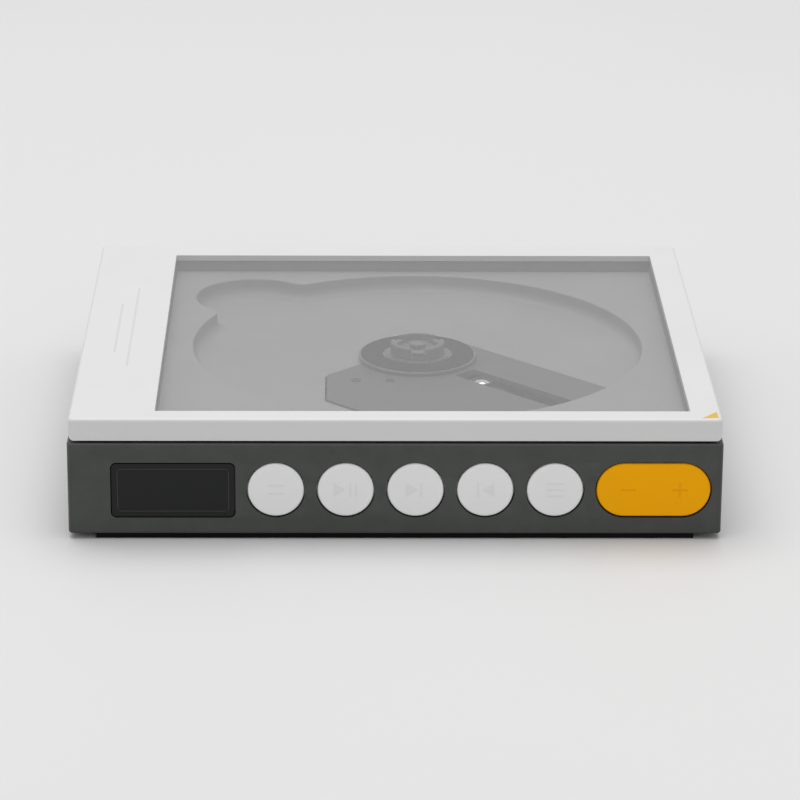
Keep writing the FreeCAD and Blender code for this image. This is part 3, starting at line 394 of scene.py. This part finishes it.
def build_display_edge_highlight():
    """A thin line round the display window's front face, measured in from its hidden flange: a painted
    highlight where light catches the pane's rounded edge.
    """
    # the line's grey, a little lighter than the display black, is painted highlight
    grey = moulded("edge_highlight_grey", (0.022, 0.022, 0.023), 0.3, grain=900.0, vary=0.1)
    low, high = corners_of("display_window")
    centre = (low + high) / 2
    centre.y = low.y - SYMBOL_SINK
    wide, tall = (high.x - low.x) - 2 * HIGHLIGHT_INSET, (high.z - low.z) - 2 * HIGHLIGHT_INSET
    outer = bar_outline(wide, tall, HIGHLIGHT_CORNERS[0], 8)
    inner = bar_outline(wide - 2 * HIGHLIGHT_WIDE, tall - 2 * HIGHLIGHT_WIDE, HIGHLIGHT_CORNERS[1], 8)
    mesh = bmesh.new()
    loops = [[mesh.verts.new(centre + ACROSS * x + UP * y + FRONT * lift) for x, y in outline]
             for outline, lift in ((outer, 0.0), (outer, SKIN), (inner, SKIN), (inner, 0.0))]
    close_loops(mesh, loops + loops[:1])
    finish_piece(mesh, "display_edge_highlight", "case", "display_black", grey)


LINING_SHEET = 0.12 * MM
LINING_GAP = 0.03 * MM
LINING_RISE = 1.25 * MM


def build_painted_shade_lining():
    """A dark grey sleeve that lines the lid's opening under the clear window; its dark grey is painted shade
    for the lid's inner walls.
    """
    # the sleeve's grey is painted shade, much darker than the lid's own white
    grey = moulded("lining_painted_shade", (0.13, 0.13, 0.132), 0.5, vary=0.06)
    low, high = corners_of("lid_window")
    base = corners_of("lid_frame")[0].z + LINING_RISE
    top = low.z - LINING_GAP
    mesh = bmesh.new()
    loops = []
    for inset, level in ((-LINING_GAP, base), (-LINING_GAP, top), (LINING_SHEET, top), (LINING_SHEET, base)):
        corners = ((low.x + inset, low.y + inset), (high.x - inset, low.y + inset),
                   (high.x - inset, high.y - inset), (low.x + inset, high.y - inset))
        loops.append([mesh.verts.new((x, y, level)) for x, y in corners])
    close_loops(mesh, loops + loops[:1])
    finish_piece(mesh, "window_painted_shade_lining", "lid", "mechanism_plastic", grey)


# a screw head's outline from its foot to its recess, as shares of its radius and height; then the recess
SCREW_STEPS = 48
SCREW_PROFILE = ((1.0, -1.0), (1.0, 0.0), (0.93, 0.35), (0.72, 0.62))
SLOT_REACH = 0.66
SLOT_ROOT = 0.24
SLOT_SPREAD = 0.5
SLOT_DEPTH = 0.75
PLATE_SCREWS = ((1.6, -25.5), (8.2, -19.0))
PLATE_SCREW_RADIUS = 1.3 * MM
PLATE_SCREW_HEIGHT = 0.35 * MM
PLATE_SCREW_LIFT = 0.1 * MM


def cross_screw(name, body, centre, radius, height, slot_name):
    """A domed screw head with a cross recess."""
    mesh = bmesh.new()
    turns = [2 * math.pi * step / SCREW_STEPS for step in range(SCREW_STEPS)]

    def ring(reaches, lift):
        return [mesh.verts.new(centre + Vector((reach * math.cos(turn), reach * math.sin(turn), lift)))
                for reach, turn in zip(reaches, turns)]

    rings = [ring([radius * share] * SCREW_STEPS, height * level) for share, level in SCREW_PROFILE]
    recess = [radius * (SLOT_REACH if abs(math.sin(2 * turn)) < SLOT_SPREAD else SLOT_ROOT) for turn in turns]
    rim = height * SCREW_PROFILE[-1][1]
    rings.append(ring(recess, rim))
    rings.append(ring(recess, rim - height * SLOT_DEPTH))
    close_loops(mesh, rings)
    mesh.faces.new(rings[0])
    mesh.faces.new(rings[-1])
    finish_piece(mesh, name, body, slot_name)


def along_travel(along, across, height):
    """A place measured along and across the pickup's line of travel."""
    low, high = corners_of("turntable")
    spindle = (low + high) / 2
    diagonal = math.sqrt(0.5)
    return Vector((spindle.x + (along + across) * diagonal, spindle.y + (across - along) * diagonal, height))


def build_plate_screws():
    """The small screws that hold the plate."""
    height = corners_of("traverse_frame")[1].z + PLATE_SCREW_LIFT
    for number, (along, across) in enumerate(PLATE_SCREWS, start=1):
        cross_screw("plate_screw_%d" % number, "case", along_travel(along * MM, across * MM, height),
                    PLATE_SCREW_RADIUS, PLATE_SCREW_HEIGHT, "chip_black")


# ---- setting ------------------------------------------------------------------------------------------
CAMERA_PLACE = (-0.0141, -0.9669, 0.3538)
CAMERA_TURNS = (0.972, 19.503, 0.387)
CAMERA_LENS = 167.4
CAMERA_SENSOR = 36.0
CAMERA_REACH = (0.01, 50.0)
FLOOR_HALF = 6.0
FLOOR_GREYS = ((0.67, 0.67, 0.67), (0.685, 0.685, 0.685))
SKY_STRENGTH = 0.56
LAMPS = (("overhead", (-0.1, 0.20, 1.6), 1.6, 20.5), ("front_fill", (0.2, -1.8, 0.9), 1.2, 2.2))


def build_camera():
    """A long lens in front of the player, looking down at it; turns are yaw, pitch and roll in degrees."""
    data = bpy.data.cameras.new("camera")
    data.lens = CAMERA_LENS
    data.sensor_width = CAMERA_SENSOR
    data.clip_start, data.clip_end = CAMERA_REACH
    camera = bpy.data.objects.new("camera", data)
    bpy.context.scene.collection.objects.link(camera)
    yaw, pitch, roll = (math.radians(angle) for angle in CAMERA_TURNS)
    ahead = Vector((math.sin(yaw) * math.cos(pitch), math.cos(yaw) * math.cos(pitch), -math.sin(pitch)))
    right = Vector((math.cos(yaw), -math.sin(yaw), 0.0))
    above = right.cross(ahead)
    tilted_right = right * math.cos(roll) + above * math.sin(roll)
    tilted_up = above * math.cos(roll) - right * math.sin(roll)
    turn = Matrix((tilted_right, tilted_up, -ahead)).transposed()
    camera.matrix_world = Matrix.Translation(Vector(CAMERA_PLACE)) @ turn.to_4x4()
    bpy.context.scene.camera = camera


def build_stage():
    """A plain pale floor that runs back to the horizon."""
    mesh = bmesh.new()
    bmesh.ops.create_grid(mesh, x_segments=8, y_segments=8, size=FLOOR_HALF)
    data = bpy.data.meshes.new("floor")
    mesh.to_mesh(data)
    mesh.free()
    material, tree, shader = new_material("floor", 0.6)
    tree.links.new(tinted(tree, remap(tree, noise(tree, 3.0), 0.0, 1.0), *FLOOR_GREYS),
                   shader.inputs["Base Color"])
    data.materials.append(material)
    floor = bpy.data.objects.new("floor", data)
    bpy.context.scene.collection.objects.link(floor)


def soft_light(name, place, width, power):
    """A square lamp that faces the player."""
    data = bpy.data.lights.new(name, "AREA")
    data.shape = "SQUARE"
    data.size = width
    data.energy = power
    lamp = bpy.data.objects.new(name, data)
    bpy.context.scene.collection.objects.link(lamp)
    turn = (-Vector(place)).to_track_quat("-Z", "Y").to_matrix().to_4x4()
    lamp.matrix_world = Matrix.Translation(Vector(place)) @ turn


def build_light():
    """An even white room with a large lamp overhead and a weak one in front."""
    world = bpy.data.worlds.new("studio")
    world.use_nodes = True
    sky = world.node_tree.nodes["Background"]
    sky.inputs["Color"].default_value = (1.0, 1.0, 1.0, 1.0)
    sky.inputs["Strength"].default_value = SKY_STRENGTH
    bpy.context.scene.world = world
    for lamp in LAMPS:
        soft_light(*lamp)


paint_frame()
build_symbols()
build_lid_marks()
build_display_edge_highlight()
build_painted_shade_lining()
build_plate_screws()
build_camera()
build_stage()
build_light()
bpy.context.scene.view_settings.view_transform = "Standard"
